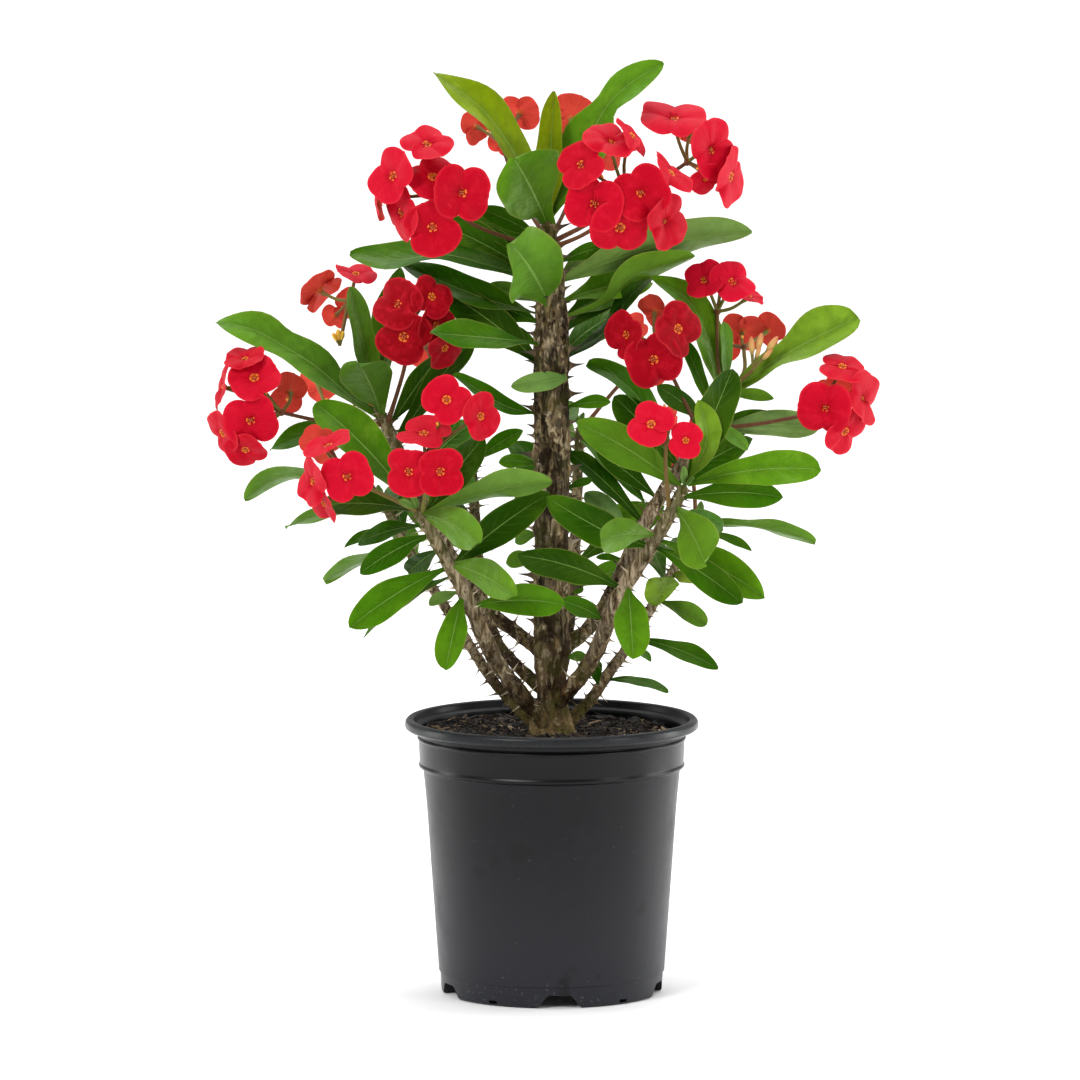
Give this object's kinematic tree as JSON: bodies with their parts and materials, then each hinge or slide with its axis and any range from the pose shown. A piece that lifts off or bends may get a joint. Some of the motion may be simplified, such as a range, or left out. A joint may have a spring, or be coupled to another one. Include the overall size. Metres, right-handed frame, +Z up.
{
  "type": "potted crown of thorns plant",
  "caption": "Bushy crown of thorns plant with red two-bract flowers, spoon-shaped leaves and a thorny trunk, rooted in bark soil in a plain black nursery pot.",
  "frame": {"origin": "on the surface that the pot stands on, under the middle of the whole plant's bounding box", "axes": "+Z up along the trunk and the pot's axis, +X to the right of a viewer who sees the fullest side, +Y away from that viewer"},
  "size_m": [0.3754, 0.2486, 0.5281],
  "materials": {
    "pot_plastic": "satin",
    "bark_soil": "matte",
    "bark": "matte",
    "leaf": "satin",
    "flower": "matte"
  },
  "bodies": {
    "root": {"pot": "pot_plastic", "soil": "bark_soil", "trunk": "bark", "main_shoot": "leaf", "front_left_branch": "leaf", "far_left_branch": "leaf", "left_branch": "leaf", "back_left_branch": "leaf", "back_branch": "leaf", "far_right_branch": "leaf", "front_right_branch": "leaf", "right_branch": "leaf", "flowers_a": "flower", "flowers_b": "flower", "flowers_c": "flower", "flowers_d": "flower", "flowers_e": "flower", "flowers_f": "flower", "flowers_i": "flower", "flowers_j": "flower", "flowers_k": "flower", "flowers_m": "flower", "flowers_p": "flower", "flowers_q": "flower", "flowers_r": "flower", "flowers_s": "flower", "flowers_t": "flower", "flowers_u": "flower", "flowers_v": "flower", "flowers_w": "flower", "flowers_x": "flower"}
  },
  "joints": []
}
